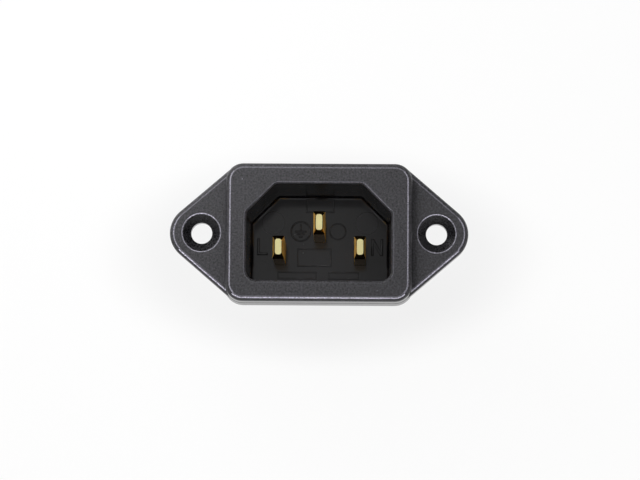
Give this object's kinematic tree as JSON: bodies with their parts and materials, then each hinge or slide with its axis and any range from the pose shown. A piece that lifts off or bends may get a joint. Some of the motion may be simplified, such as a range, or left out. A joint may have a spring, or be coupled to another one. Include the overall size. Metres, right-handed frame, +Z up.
{
  "type": "panel-mount appliance inlet with three flat pins",
  "caption": "Screw-flange power inlet: keyed recess in a raised bezel, flat earth, line and neutral pins inside, countersunk ears, push-on tabs at the rear.",
  "frame": {"origin": "on the inlet's axis, in the plane of the flange's back face, midway between the two screw holes", "axes": "+X to the right through the screw holes, +Y into the panel, +Z up, with the earth pin above the other two"},
  "size_m": [0.0508, 0.0298, 0.0242],
  "materials": {
    "moulding": "black glass-filled nylon, fine spark-eroded grain on the faces, smoother walls inside the recess",
    "contact": "drawn solid brass, bright milled tips",
    "tab": "rolled brass strip, satin"
  },
  "bodies": {
    "root": {"housing": "moulding", "line_pin": "contact", "neutral_pin": "contact", "earth_pin": "contact", "line_tab": "tab", "neutral_tab": "tab", "earth_tab": "tab"}
  },
  "joints": []
}
